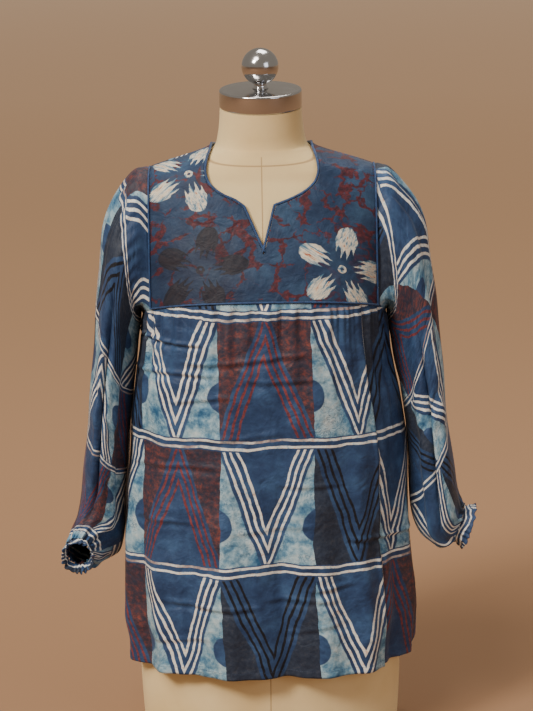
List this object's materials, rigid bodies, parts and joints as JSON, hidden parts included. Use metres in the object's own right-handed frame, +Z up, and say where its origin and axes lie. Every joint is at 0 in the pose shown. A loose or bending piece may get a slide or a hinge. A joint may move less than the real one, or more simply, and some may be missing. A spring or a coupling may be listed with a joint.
{
  "type": "tunic top on dress form",
  "caption": "Long-sleeved printed tunic with a flat yoke, a notched round neckline, gathers under the yoke and gathered cuffs, worn by a limbless linen dress form with a metal neck cap.",
  "frame": {"origin": "middle of the dress form's flat bottom", "axes": "+Z up along the form; -Y is the tunic's front; +X is the wearer's left"},
  "size_m": [0.5745, 0.2831, 0.9625],
  "materials": {
    "navy_print": "matte",
    "rust_print": "matte",
    "piping_blue": "matte",
    "form_linen": "matte",
    "bright_chrome": "polished"
  },
  "bodies": {
    "root": {"form_torso": "form_linen", "neck_cap": "bright_chrome", "cap_ball": "bright_chrome", "front_yoke": "navy_print", "front_panel": "rust_print", "back_panel": "rust_print", "sleeve_left": "rust_print", "sleeve_right": "rust_print", "cuff_left": "rust_print", "cuff_right": "rust_print", "neck_piping": "piping_blue", "yoke_piping": "piping_blue"}
  },
  "joints": []
}
